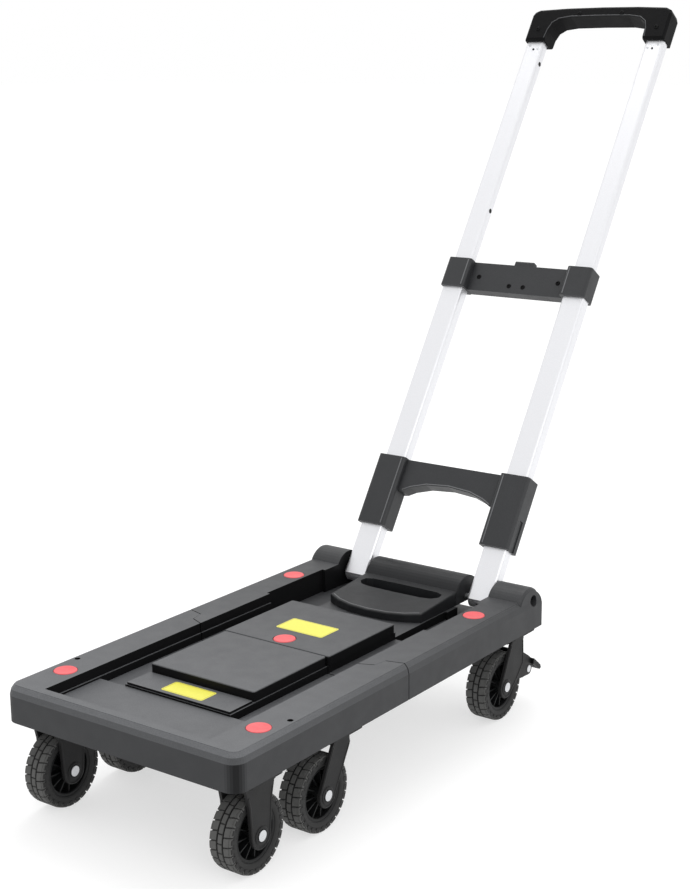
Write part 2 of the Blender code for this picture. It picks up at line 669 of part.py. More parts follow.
# Low bracket: two sleeves tied by a set-back plate that arches over the carry handle
BRACKET_BACK = 0.0165
low_front = -0.0100
sleeve = block((0.0650, 0.1032), (low_front, BRACKET_BACK), LOW_BRACKET_SPAN)
soften(sleeve, along("z"), 0.0040, 3)
low_bracket = new_object("low_bracket", sleeve, BLACK_PLASTIC, HANDLE)
left_sleeve = block((-0.1032, -0.0650), (low_front, BRACKET_BACK), LOW_BRACKET_SPAN)
soften(left_sleeve, along("z"), 0.0040, 3)
arch_top = mirrored(
    [(0.0, 0.1235), (0.0300, 0.1210), (0.0500, 0.1150), (0.0600, 0.1095), (0.0700, 0.1080), (0.0700, 0.1485), (0.0, 0.1485)]
)
join(low_bracket, slab(arch_top, (-0.0030, 0.0150), "y"), "arch", HANDLE)
join(low_bracket, left_sleeve, "left_sleeve", HANDLE)
for side, word in TUBE_SIDES:
    bore(low_bracket, f"low_foot_{word}", side * FOOT_X, FOOT, (0.03, 0.09))
    bore(low_bracket, f"low_outer_{word}", side * TUBE_X, OUTER_TUBE, (OUTER_TUBE_SPAN[0] - GAP, 0.20))
    groove = block(sorted((side * 0.1020, side * 0.11)), (0.0000, 0.0070), (0.05, 0.1000))
    cut(low_bracket, groove, f"side_groove_{word}", HANDLE)
smooth(low_bracket)

# Mid bracket: sleeves on the outer tubes' top ends, and the seat of the release button
mid_front = -0.0096
sleeve = block((0.0660, 0.0988), (mid_front, BRACKET_BACK), MID_BRACKET_SPAN)
soften(sleeve, along("z"), 0.0035, 3)
mid_bracket = new_object("mid_bracket", sleeve, BLACK_PLASTIC, HANDLE)
left_sleeve = block((-0.0988, -0.0660), (mid_front, BRACKET_BACK), MID_BRACKET_SPAN)
soften(left_sleeve, along("z"), 0.0035, 3)
tie = block((-0.0700, 0.0700), (0.0014, 0.0150), (MID_BRACKET_SPAN[0] + 0.0002, MID_BRACKET_SPAN[1] - 0.0002))
join(mid_bracket, tie, "mid_tie", HANDLE)
join(mid_bracket, left_sleeve, "mid_left_sleeve", HANDLE)
for side, word in TUBE_SIDES:
    bore(mid_bracket, f"mid_outer_{word}", side * TUBE_X, OUTER_TUBE, (0.30, OUTER_TUBE_SPAN[1] + GAP))
    bore(mid_bracket, f"mid_inner_{word}", side * TUBE_X, INNER_TUBE, (0.40, 0.50))
slot = block((-0.0135, 0.0135), (0.0040, 0.0125), (0.3950, 0.50))
cut(mid_bracket, slot, "release_slot", HANDLE)
smooth(mid_bracket)

# Release button: a tab that is pressed down into the mid bracket
press = empty("release_axis", (0.0, 0.00825, 0.4170), HANDLE)
tab = block((-0.0130, 0.0130), (-0.00385, 0.00385), (-0.0160, 0.0045))
soften(tab, at_level("z", 0.0045), 0.0018, 2)
smooth(new_object("release_button", tab, BLACK_PLASTIC, press))

# Inner tubes and grip, which slide together
for side, word in TUBE_SIDES:
    box_tube(f"inner_tube_{word}", side * TUBE_X, INNER_TUBE, INNER_TUBE_SPAN, HANDLE, 0.0013)

grip_outline = mirrored(
    [(0.0, GRIP_SPAN[1]), (0.0500, GRIP_SPAN[1] - 0.0006), (0.0880, GRIP_SPAN[1] - 0.0026),
     (0.0945, GRIP_SPAN[1] - 0.0060), (0.0968, GRIP_SPAN[1] - 0.0110), (0.0968, GRIP_SPAN[0]), (0.0, GRIP_SPAN[0])]
)
bm = slab(grip_outline, (-0.0090, GRIP_BACK), "y")
soften(bm, at_level("y", -0.0090), 0.0030, 2)
soften(bm, at_level("y", GRIP_BACK), 0.0040, 3)
grip = new_object("grip", bm, BLACK_PLASTIC, HANDLE)
opening = mirrored([(0.0, 0.7590), (0.0400, 0.7585), (0.0560, 0.7560), (0.0640, 0.7500), (0.0675, 0.7400), (0.0690, 0.7000), (0.0, 0.7000)])
cut(grip, slab(opening, (-0.03, 0.03), "y"), "grip_opening", HANDLE)
for side, word in TUBE_SIDES:
    bore(grip, f"grip_{word}", side * TUBE_X, INNER_TUBE, (0.70, INNER_TUBE_SPAN[1] + GAP))
smooth(grip)
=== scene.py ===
"""Folding platform cart on a pale studio floor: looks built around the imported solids."""

import math

import bmesh
import bpy
from mathutils import Matrix, Vector


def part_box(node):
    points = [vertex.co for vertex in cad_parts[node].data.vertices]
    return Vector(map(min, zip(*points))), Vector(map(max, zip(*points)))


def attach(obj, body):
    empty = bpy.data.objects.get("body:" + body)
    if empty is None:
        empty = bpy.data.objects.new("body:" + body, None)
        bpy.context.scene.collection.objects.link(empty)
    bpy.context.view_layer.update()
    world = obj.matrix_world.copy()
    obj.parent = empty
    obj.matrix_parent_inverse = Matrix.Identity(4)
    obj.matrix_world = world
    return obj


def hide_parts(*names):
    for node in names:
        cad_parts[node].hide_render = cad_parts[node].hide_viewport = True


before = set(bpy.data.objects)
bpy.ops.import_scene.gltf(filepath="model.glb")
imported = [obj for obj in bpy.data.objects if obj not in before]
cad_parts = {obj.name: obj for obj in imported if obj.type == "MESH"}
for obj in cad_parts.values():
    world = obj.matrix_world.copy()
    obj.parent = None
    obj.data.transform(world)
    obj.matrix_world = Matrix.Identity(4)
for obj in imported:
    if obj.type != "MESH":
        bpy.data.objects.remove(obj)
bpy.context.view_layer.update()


# Studio. The cart stands on a matt white sweep in a white tent, with a broad lamp overhead and a
# smaller one to its right, so its dark plastic shows soft pale sheens and hardly any shadow.

deck_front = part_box("front_deck")[0].y
eye = Vector((0.9868, deck_front - 0.9863, 0.7182))
yaw, pitch, roll = -0.6328, -0.2361, -0.0087
ahead = Vector((math.sin(yaw) * math.cos(pitch), math.cos(yaw) * math.cos(pitch), math.sin(pitch)))
level = Vector((math.cos(yaw), -math.sin(yaw), 0.0))
upward = level.cross(ahead)
across = level * math.cos(roll) + upward * math.sin(roll)
upward = upward * math.cos(roll) - level * math.sin(roll)
camera_data = bpy.data.cameras.new("studio_camera")
camera_data.lens = 66.03
camera_data.sensor_width = 36.0
camera_data.clip_end = 100.0
camera = bpy.data.objects.new("studio_camera", camera_data)
camera.matrix_world = Matrix(
    (
        (across.x, upward.x, -ahead.x, eye.x),
        (across.y, upward.y, -ahead.y, eye.y),
        (across.z, upward.z, -ahead.z, eye.z),
        (0.0, 0.0, 0.0, 1.0),
    )
)
bpy.context.scene.collection.objects.link(camera)
bpy.context.scene.camera = camera
bpy.context.scene.view_settings.view_transform = "Standard"


def linear(code):
    """A colour given as sRGB hex, in linear light."""
    steps = [int(code[i : i + 2], 16) / 255 for i in (0, 2, 4)]
    return (*[s / 12.92 if s <= 0.04045 else ((s + 0.055) / 1.055) ** 2.4 for s in steps], 1.0)


def node(tree, kind, settings, links=()):
    """Add one shader node, set its inputs or options, and link (socket, input) pairs to it."""
    made = tree.nodes.new("ShaderNode" + kind)
    for name, value in settings.items():
        if isinstance(name, int) or name in made.inputs:
            made.inputs[name].default_value = value
        else:
            setattr(made, name, value)
    for socket, name in links:
        tree.links.new(socket, made.inputs[name])
    return made


def new_material(name):
    """A material, its tree, its principled shader and the socket of the place on the piece."""
    made = bpy.data.materials.new(name)
    made.use_nodes = True
    tree = made.node_tree
    place = node(tree, "TexCoord", {})
    return made, tree, tree.nodes["Principled BSDF"], place.outputs["Object"]


def repeats(size_mm):
    """The scale of a pattern whose marks are this many millimetres across."""
    return 1000.0 / size_mm


sweep_half_width = 30.0
sweep_drop = 0.0006  # keeps the sweep clear of the tyres
sweep_material, tree, shader, spot = new_material("matt_white_sweep")
mottle = node(tree, "TexNoise", {"Scale": repeats(333.0), "Detail": 2.0}, [(spot, "Vector")])
tint = node(tree, "MapRange", {"To Min": 0.44, "To Max": 0.47}, [(mottle.outputs["Fac"], "Value")])
white = node(tree, "CombineColor", {}, [(tint.outputs["Result"], i) for i in range(3)])
tree.links.new(white.outputs["Color"], shader.inputs["Base Color"])
shader.inputs["Roughness"].default_value = 0.9
shader.inputs["Specular IOR Level"].default_value = 0.1
shader.inputs["Emission Color"].default_value = linear("ffffff")  # lit from behind, so it stays white
shader.inputs["Emission Strength"].default_value = 0.60
sweep = bmesh.new()
bmesh.ops.create_grid(sweep, x_segments=8, y_segments=8, size=sweep_half_width)
sweep_mesh = bpy.data.meshes.new("studio_floor")
sweep.to_mesh(sweep_mesh)
sweep.free()
sweep_mesh.materials.append(sweep_material)
studio_floor = bpy.data.objects.new("studio_floor", sweep_mesh)
studio_floor.location.z = -sweep_drop
bpy.context.scene.collection.objects.link(studio_floor)

tent = bpy.data.worlds.new("white_tent")
bpy.context.scene.world = tent
tent.use_nodes = True
tent.node_tree.nodes["Background"].inputs["Color"].default_value = linear("ffffff")
tent.node_tree.nodes["Background"].inputs["Strength"].default_value = 1.0


def soft_lamp(name, place, target, size, watts):
    """A square soft box at a place, turned to face its target."""
    lamp = bpy.data.lights.new(name, "AREA")
    lamp.shape = "SQUARE"
    lamp.size = size
    lamp.energy = watts
    made = bpy.data.objects.new(name, lamp)
    made.location = place
    made.rotation_mode = "QUATERNION"
    made.rotation_quaternion = (Vector(target) - Vector(place)).to_track_quat("-Z", "Y")
    bpy.context.scene.collection.objects.link(made)


soft_lamp("overhead_box", (-0.5, 0.9, 2.4), (0.0, -0.1, 0.1), 1.8, 26.0)
soft_lamp("side_box", (1.9, -1.3, 1.0), (0.0, -0.1, 0.2), 1.2, 9.0)


# Moulded deck. Both halves, their raised lids and the lift-up carry handle are charcoal ABS from
# a spark-eroded mould: an even fine grain, satin where hands and boxes have rubbed it.

grain_mm = 0.9  # real spark-eroded grain is about 0.2 mm, and is drawn coarser so that it shows
speck_mm = 1.1  # real flecks of pigment are finer too
cloud_mm = 36.0  # flow marks, where the plastic filled the mould
scuff_mm = 17.0


def moulded_plastic(name, dark, pale, roughness, grain_mm, depth, gloss):
    """Moulded thermoplastic: two close tones in soft clouds, a fine grain and rubbed patches."""
    made, tree, shader, spot = new_material(name)
    cloud = node(
        tree,
        "TexNoise",
        {"Scale": repeats(cloud_mm), "Detail": 4.0, "Roughness": 0.6},
        [(spot, "Vector")],
    )
    speck = node(tree, "TexNoise", {"Scale": repeats(speck_mm), "Detail": 1.0}, [(spot, "Vector")])
    blend = node(
        tree,
        "Mix",
        {"data_type": "RGBA", 6: linear(dark), 7: linear(pale)},
        [(cloud.outputs["Fac"], 0)],
    )
    fleck = node(
        tree,
        "MapRange",
        {"From Min": 0.30, "From Max": 0.70, "To Min": 0.88, "To Max": 1.12},
        [(speck.outputs["Fac"], "Value")],
    )
    shade = node(
        tree,
        "VectorMath",
        {"operation": "SCALE"},
        [(blend.outputs[2], 0), (fleck.outputs["Result"], "Scale")],
    )
    tree.links.new(shade.outputs["Vector"], shader.inputs["Base Color"])
    scuff = node(tree, "TexNoise", {"Scale": repeats(scuff_mm), "Detail": 4.0}, [(spot, "Vector")])
    rough = node(
        tree,
        "MapRange",
        {"From Min": 0.35, "From Max": 0.65, "To Min": roughness - 0.03, "To Max": roughness + 0.04},
        [(scuff.outputs["Fac"], "Value")],
    )
    tree.links.new(rough.outputs["Result"], shader.inputs["Roughness"])
    grain = node(
        tree,
        "TexVoronoi",
        {"feature": "SMOOTH_F1", "Scale": repeats(grain_mm), "Smoothness": 0.6},
        [(spot, "Vector")],
    )
    relief = node(
        tree,
        "Bump",
        {"Strength": depth, "Distance": 0.00008},
        [(grain.outputs["Distance"], "Height")],
    )
    tree.links.new(relief.outputs["Normal"], shader.inputs["Normal"])
    shader.inputs["IOR"].default_value = 1.53
    shader.inputs["Specular IOR Level"].default_value = gloss
    return made


skirt_x = 0.1390  # walls nearer the middle than this, and behind skirt_y, are inside the deck and get painted shade
skirt_y = deck_front + 0.006
sheen_fade_length = 0.50  # painted light: the tops are painted paler at the front and darker towards the hinge, as the lamp's sheen falling off


def paint_deck_light_and_shade(made, outer, inner):
    """Painted light and shade: tops painted pale as a sheen, most at the front; walls painted dark as
    shade, hollows and corners nearly black, and the gloss of hollow and corner walls dimmed.
    """
    tree = made.node_tree
    shader = tree.nodes["Principled BSDF"]
    top_tone = shader.inputs["Base Color"].links[0].from_socket
    facing = node(tree, "NewGeometry", {})
    normal = node(tree, "SeparateXYZ", {}, [(facing.outputs["Normal"], "Vector")])
    place = node(tree, "TexCoord", {})
    spot = node(tree, "SeparateXYZ", {}, [(place.outputs["Object"], "Vector")])
    # Painted shade: faces that stand up take the dark wall colours in place of the top tone.
    upright = node(
        tree,
        "MapRange",
        {"From Min": 0.12, "From Max": 0.45, "To Min": 1.0, "To Max": 0.0},
        [(normal.outputs["Z"], "Value")],
    )
    off_centre = node(tree, "Math", {"operation": "ABSOLUTE"}, [(spot.outputs["X"], 0)])
    within = node(
        tree,
        "Math",
        {"operation": "LESS_THAN", 1: skirt_x},
        [(off_centre.outputs["Value"], 0)],
    )
    behind = node(tree, "Math", {"operation": "GREATER_THAN", 1: skirt_y}, [(spot.outputs["Y"], 0)])
    hollow = node(
        tree,
        "Math",
        {"operation": "MULTIPLY"},
        [(within.outputs["Value"], 0), (behind.outputs["Value"], 1)],
    )
    wall = node(
        tree,
        "Mix",
        {"data_type": "RGBA", 6: linear(outer), 7: linear(inner)},
        [(hollow.outputs["Value"], 0)],
    )
    sides = node(tree, "VectorMath", {"operation": "ABSOLUTE"}, [(facing.outputs["Normal"], 0)])
    side = node(tree, "SeparateXYZ", {}, [(sides.outputs["Vector"], "Vector")])
    turning = node(
        tree,
        "Math",
        {"operation": "MINIMUM"},
        [(side.outputs["X"], 0), (side.outputs["Y"], 1)],
    )
    # Painted shade: where the walls turn round a corner they darken towards the near-black colour.
    corner = node(
        tree,
        "MapRange",
        {"From Min": 0.0, "From Max": 0.75},
        [(turning.outputs["Value"], "Value")],
    )
    walls = node(
        tree,
        "Mix",
        {"data_type": "RGBA", 7: linear(inner)},
        [(corner.outputs["Result"], 0), (wall.outputs[2], 6)],
    )
    # Painted light: the top tone is scaled up at the front and down towards the hinge, as a sheen.
    sheen_falloff = node(
        tree,
        "MapRange",
        {"From Min": deck_front, "From Max": deck_front + sheen_fade_length, "To Min": 1.75, "To Max": 0.55},
        [(spot.outputs["Y"], "Value")],
    )
    lamp_lit_tops = node(
        tree,
        "VectorMath",
        {"operation": "SCALE"},
        [(top_tone, 0), (sheen_falloff.outputs["Result"], "Scale")],
    )
    whole = node(
        tree,
        "Mix",
        {"data_type": "RGBA"},
        [(upright.outputs["Result"], 0), (lamp_lit_tops.outputs["Vector"], 6), (walls.outputs[2], 7)],
    )
    tree.links.new(whole.outputs[2], shader.inputs["Base Color"])
    # Painted shade on the reflections: the gloss is dimmed on hollow and corner walls.
    dull = node(
        tree,
        "Math",
        {"operation": "MAXIMUM"},
        [(corner.outputs["Result"], 0), (hollow.outputs["Value"], 1)],
    )
    dull_side = node(
        tree,
        "Math",
        {"operation": "MULTIPLY"},
        [(dull.outputs["Value"], 0), (upright.outputs["Result"], 1)],
    )
    gloss = node(
        tree,
        "MapRange",
        {"To Min": 0.30, "To Max": 0.08},
        [(dull_side.outputs["Value"], "Value")],
    )
    tree.links.new(gloss.outputs["Result"], shader.inputs["Specular IOR Level"])


def coat(finish, *names):
    """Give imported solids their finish, in place of the plain colour they come with."""
    for name in names:
        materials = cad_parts[name].data.materials
        materials.clear()
        materials.append(finish)


charcoal_abs = moulded_plastic("charcoal_abs", "424345", "4a4b4d", 0.50, grain_mm, 0.55, 0.30)
# Painted light and shade on the deck: pale sheen on the tops, dark walls, near-black hollows and
# corners.
paint_deck_light_and_shade(charcoal_abs, "28292b", "121213")
coat(charcoal_abs, "front_deck", "rear_deck", "front_panel", "rear_panel")
carry_abs = moulded_plastic("carry_handle_abs", "17181a", "1e1f21", 0.48, grain_mm, 0.45, 0.25)
coat(carry_abs, "carry_handle")


# Carry handle rib. A slim moulded lip follows the front edge of the lift-up carry handle, coloured
# paler than the plate it stands on as a painted highlight along that edge.


def smooth_mesh(bm, name, finishes, crease):
    """The drawn shape as a smooth mesh, sharp where it turns by more than crease degrees."""
    bmesh.ops.recalc_face_normals(bm, faces=bm.faces)
    mesh = bpy.data.meshes.new(name)
    bm.to_mesh(mesh)
    bm.free()
    mesh.shade_smooth()
    mesh.set_sharp_from_angle(angle=math.radians(crease))
    for finish in finishes:
        mesh.materials.append(finish)
    return mesh


def fitted(name, mesh, place, body):
    """Set a mesh in its place, on the body that it moves with."""
    made = bpy.data.objects.new(name, mesh)
    made.matrix_world = place
    bpy.context.scene.collection.objects.link(made)
    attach(made, body)
    return made


def raised_rib(name, line, facing, size, finish, body):
    """A half-round rib of a width and height along a line of points, standing up along facing."""
    width, height = size
    bm = bmesh.new()
    rows = []
    for i, at in enumerate(line):
        onward = line[min(i + 1, len(line) - 1)] - line[max(i - 1, 0)]
        out = onward.normalized().cross(facing)
        row = []
        for step in range(5):
            turn = math.pi * step / 4
            rise = out * (math.cos(turn) * width / 2) + facing * (math.sin(turn) * height)
            row.append(bm.verts.new(at + rise))
        rows.append(row)
    for first, second in zip(rows, rows[1:]):
        for step in range(4):
            bm.faces.new((first[step], first[step + 1], second[step + 1], second[step]))
        bm.faces.new((first[0], second[0], second[4], first[4]))
    bm.faces.new(rows[0])
    bm.faces.new(list(reversed(rows[-1])))
    fitted(name, smooth_mesh(bm, name, [finish], 50), Matrix(), body)


# Painted highlight: the ribs are coloured pale to stand for light caught along the edges they follow.
rib_highlight_abs = moulded_plastic("painted_highlight_rib_abs", "58595b", "646567", 0.42, grain_mm, 0.3, 0.45)
half_lip = [(0.0, 0.3985), (0.0240, 0.4003), (0.0430, 0.4060), (0.0575, 0.4144)]
lip_line = [(-x, y) for x, y in reversed(half_lip[1:])] + half_lip
plate_slope = 0.0852
plate_front, plate_front_height = 0.3955, 0.1237
lip_points = [
    Vector((x, deck_front + y, plate_front_height + plate_slope * (y - plate_front)))
    for x, y in lip_line
]
plate_up = Vector((0.0, -plate_slope, 1.0)).normalized()
lip_size = (0.0012, 0.0004)
raised_rib("carry_handle_lip", lip_points, plate_up, lip_size, rib_highlight_abs, "carry_grip")


# Yellow labels. Two plain vinyl stickers, one on the front shelf and one on the rear lid, with
# an amber keyline just inside a rounded edge.


def cloud_colour(material, dark, pale, patch_mm, detail):
    """Colour a new material in two close tones, in soft patches. Gives the patches' socket."""
    _, tree, shader, spot = material
    patches = node(
        tree,
        "TexNoise",
        {"Scale": repeats(patch_mm), "Detail": detail},
        [(spot, "Vector")],
    )
    mixed = node(
        tree,
        "Mix",
        {"data_type": "RGBA", 6: linear(dark), 7: linear(pale)},
        [(patches.outputs["Fac"], 0)],
    )
    tree.links.new(mixed.outputs[2], shader.inputs["Base Color"])
    return patches.outputs["Fac"]


def vinyl(name, dark, pale, roughness):
    """Printed vinyl: even ink with a faint ripple from the plastic under it."""
    material = new_material(name)
    made, tree, shader, _ = material
    ink = cloud_colour(material, dark, pale, 4.5, 3.0)
    ripple = node(tree, "Bump", {"Strength": 0.25, "Distance": 0.0001}, [(ink, "Height")])
    tree.links.new(ripple.outputs["Normal"], shader.inputs["Normal"])
    shader.inputs["Roughness"].default_value = roughness
    return made


label_field = vinyl("yellow_vinyl", "dbd548", "e8e450", 0.38)
label_line = vinyl("amber_keyline", "b7aa35", "c2b63c", 0.42)


def rounded_outline(half_x, half_y, radius, steps):
    """The points of a rectangle with round corners."""
    points = []
    for cx, cy, start in (
        (half_x - radius, half_y - radius, 0),
        (radius - half_x, half_y - radius, 90),
        (radius - half_x, radius - half_y, 180),
        (half_x - radius, radius - half_y, 270),
    ):
        for i in range(steps + 1):
            turn = math.radians(start + 90 * i / steps)
            points.append((cx + radius * math.cos(turn), cy + radius * math.sin(turn)))
    return points


label_corner = 0.0025
label_steps = ((0.0, 0.0), (0.0, 0.00012), (0.0011, 0.00016), (0.0019, 0.00016))  # (inset, height)


def sticker(name, half_x, half_y, middle, body):
    """A thin label with the keyline between its last two outlines."""
    bm = bmesh.new()
    rings = []
    for inset, height in label_steps:
        outline = rounded_outline(half_x - inset, half_y - inset, label_corner - inset * 0.6, 4)
        rings.append([bm.verts.new((x, y, height)) for x, y in outline])
    count = len(rings[0])
    for low, high in zip(rings, rings[1:]):
        for i in range(count):
            face = bm.faces.new((low[i], low[(i + 1) % count], high[(i + 1) % count], high[i]))
            face.material_index = 1 if low is rings[2] else 0
    bm.faces.new(rings[-1])
    bm.faces.new(list(reversed(rings[0])))
    mesh = bpy.data.meshes.new(name)
    bm.to_mesh(mesh)
    bm.free()
    mesh.materials.append(label_field)
    mesh.materials.append(label_line)
    made = bpy.data.objects.new(name, mesh)
    made.location = middle
    bpy.context.scene.collection.objects.link(made)
    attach(made, body)


shelf_top = 0.12502
rear_lid_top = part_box("rear_panel")[1].z + 0.00002
sticker("front_label", 0.0260, 0.01175, (0.0, deck_front + 0.1030, shelf_top), "front_platform")
sticker("rear_label", 0.0300, 0.0160, (0.0, deck_front + 0.2900, rear_lid_top), "rear_platform")


# Red buttons. Four plugs in the deck corners and the extension release in the middle are salmon
# red polypropylene, slightly waxy, with a shallow dish in the top.

salmon_red = new_material("salmon_red_polypropylene")
plug_material, tree, shader, spot = salmon_red
cloud_colour(salmon_red, "d8484e", "e95f63", 6.25, 3.0)
fine = node(tree, "TexNoise", {"Scale": repeats(0.7), "Detail": 1.0}, [(spot, "Vector")])
relief = node(tree, "Bump", {"Strength": 0.25, "Distance": 0.00005}, [(fine.outputs["Fac"], "Height")])
tree.links.new(relief.outputs["Normal"], shader.inputs["Normal"])
shader.inputs["Roughness"].default_value = 0.42
shader.inputs["IOR"].default_value = 1.49


def turned(name, profile, segments, place, facing, finish, body):
    """A lathe-turned piece from (radius, height) points, its height pointing along facing."""
    bm = bmesh.new()
    rings = []
    for radius, height in profile:
        if radius < 1e-7:
            rings.append([bm.verts.new((0.0, 0.0, height))])
            continue
        turns = [2 * math.pi * i / segments for i in range(segments)]
        ring = [bm.verts.new((radius * math.cos(a), radius * math.sin(a), height)) for a in turns]
        rings.append(ring)
    for low, high in zip(rings, rings[1:]):
        for i in range(segments):
            j = i + 1
            corners = [low[i % len(low)], low[j % len(low)], high[j % len(high)], high[i % len(high)]]
            bm.faces.new(list(dict.fromkeys(corners)))
    upright = Vector(facing).to_track_quat("Z", "Y").to_matrix().to_4x4()
    mesh = smooth_mesh(bm, name, [finish], 32)
    return fitted(name, mesh, Matrix.Translation(place) @ upright, body)


def top_middle(name, drop):
    """The middle of a solid's top, a little lower down."""
    low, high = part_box(name)
    return Vector(((low.x + high.x) / 2, (low.y + high.y) / 2, high.z - drop))


plug_dish = [
    (0.0, -0.0016),
    (0.0116, -0.0016),
    (0.0117, 0.0000),
    (0.0113, 0.0004),
    (0.0098, 0.0004),
    (0.0088, 0.0001),
    (0.0, -0.0002),
]
for row, body in (("front", "front_platform"), ("rear", "rear_platform")):
    for side in ("left", "right"):
        cap = f"red_cap_{row}_{side}"
        name = f"red_plug_{row}_{side}"
        top = top_middle(cap, 0.0004)
        plug = turned(name, plug_dish, 40, top, (0, 0, 1), plug_material, body)
        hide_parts(cap)
button_dome = [
    (0.0, -0.0050),
    (0.0115, -0.0050),
    (0.0117, -0.0004),
    (0.0112, 0.0004),
    (0.0100, 0.0006),
    (0.0086, 0.0003),
    (0.0, 0.0001),
]
name = "extension_button"
top = top_middle("lock_button", 0.0006)
release = turned(name, button_dome, 40, top, (0, 0, 1), plug_material, "extension_button")
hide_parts("lock_button")


# Underside. Thin black polypropylene covers screwed over the ribbed hollows, and two square zinc
# plated steel rails that the front half slides along. The axles are zinc plated too.

black_polypropylene = moulded_plastic("black_polypropylene", "17181a", "1f2022", 0.52, 1.1, 0.5, 0.35)
coat(black_polypropylene, "front_base", "rear_base")

zinc = new_material("zinc_plated_steel")
zinc_steel, tree, shader, spot = zinc
cloud_colour(zinc, "b9bbbe", "e6e7e9", 17.0, 4.0)
spangle = node(tree, "TexVoronoi", {"Scale": repeats(6.25)}, [(spot, "Vector")])
dull = node(tree, "MapRange", {"To Min": 0.22, "To Max": 0.42}, [(spangle.outputs["Distance"], "Value")])
tree.links.new(dull.outputs["Result"], shader.inputs["Roughness"])
shader.inputs["Metallic"].default_value = 1.0
plated = ("slide_rail", "axle_", "hinge_axle")
coat(zinc_steel, *[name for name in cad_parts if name.startswith(plated)])


def screw_profile(radius):
    """A low pan head with a hollow for the driver."""
    return [
        (0.0, -0.0002),
        (radius, -0.0002),
        (radius, 0.0003),
        (radius * 0.80, 0.0008),
        (radius * 0.50, 0.0009),
        (radius * 0.42, 0.0002),
        (0.0, 0.0002),
    ]


cover_screw = screw_profile(0.0031)
screw_margin = 0.010
for cover, body in (("front_base", "front_platform"), ("rear_base", "rear_platform")):
    low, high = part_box(cover)
    for i, x in enumerate((low.x + screw_margin, high.x - screw_margin)):
        for j, y in enumerate((low.y + screw_margin, (low.y + high.y) / 2, high.y - screw_margin)):
            at = Vector((x, y, low.z - 0.00005))
            turned(f"{cover}_screw_{i}{j}", cover_screw, 20, at, (0, 0, -1), zinc_steel, body)


# Tyres. Near-black thermoplastic rubber moulded on to the wheel. Shoulder blocks wrap round on to
# the sidewall, two grooves split the tread, and floor dust has left the tread paler than the sides.

bloom_mm = 11.0
pore_mm = 0.9  # real pores are about 0.1 mm, and are drawn coarser so that they show


def rubber(name, dark, pale, roughness):
    """Matt rubber: a cloudy bloom and fine pores."""
    made, tree, shader, spot = new_material(name)
    bloom = node(
        tree,
        "TexNoise",
        {"Scale": repeats(bloom_mm), "Detail": 6.0, "Roughness": 0.65},
        [(spot, "Vector")],
    )
    mixed = node(
        tree,
        "Mix",
        {"data_type": "RGBA", 6: linear(dark), 7: linear(pale)},
        [(bloom.outputs["Fac"], 0)],
    )
    tree.links.new(mixed.outputs[2], shader.inputs["Base Color"])
    pores = node(tree, "TexNoise", {"Scale": repeats(pore_mm), "Detail": 2.0}, [(spot, "Vector")])
    relief = node(
        tree,
        "Bump",
        {"Strength": 0.4, "Distance": 0.0001},
        [(pores.outputs["Fac"], "Height")],
    )
    tree.links.new(relief.outputs["Normal"], shader.inputs["Normal"])
    shader.inputs["Roughness"].default_value = roughness
    shader.inputs["IOR"].default_value = 1.52
    shader.inputs["Specular IOR Level"].default_value = 0.25
    return made


sidewall_rubber = rubber("sidewall_rubber", "1e1e1e", "2b2b2b", 0.60)
tread_rubber = rubber("worn_tread_rubber", "444443", "5a5a59", 0.82)

tyre_radius = 0.0382
groove_radius = 0.0372
block_root = groove_radius - 0.0010  # blocks start below the groove, so that they join the tyre
block_count = 26


def wheel_band(bm, half_profile, steps):
    """Turn (radius, x) points and their mirror image round the axle, into one closed ring."""
    rings = []
    for radius, x in half_profile + [(r, -x) for r, x in reversed(half_profile)]:
        turns = [2 * math.pi * i / steps for i in range(steps)]
        rings.append([bm.verts.new((x, radius * math.sin(a), radius * math.cos(a))) for a in turns])
    for low, high in zip(rings, rings[1:] + rings[:1]):
        for i in range(steps):
            bm.faces.new((low[i], low[(i + 1) % steps], high[(i + 1) % steps], high[i]))


def arc_block(bm, angle, share, x_range, radii, lean=0.0):
    """One raised tread block: a curved brick between two angles, two widths and two radii."""
    half = math.pi / block_count * share
    corners = []
    for x_index, x in enumerate(x_range):
        for radius in radii:
            for step in (-1, 0, 1):
                a = angle + step * half + lean * x_index
                corners.append(bm.verts.new((x, radius * math.sin(a), radius * math.cos(a))))
    inner_a, outer_a, inner_b, outer_b = corners[0:3], corners[3:6], corners[6:9], corners[9:12]
    for i in (0, 1):
        bm.faces.new((outer_a[i], outer_a[i + 1], outer_b[i + 1], outer_b[i]))
        bm.faces.new((inner_b[i], inner_b[i + 1], inner_a[i + 1], inner_a[i]))
        bm.faces.new((inner_a[i], inner_a[i + 1], outer_a[i + 1], outer_a[i]))
        bm.faces.new((outer_b[i], outer_b[i + 1], inner_b[i + 1], inner_b[i]))
    bm.faces.new((inner_a[0], outer_a[0], outer_b[0], inner_b[0]))
    bm.faces.new((inner_b[2], outer_b[2], outer_a[2], inner_a[2]))


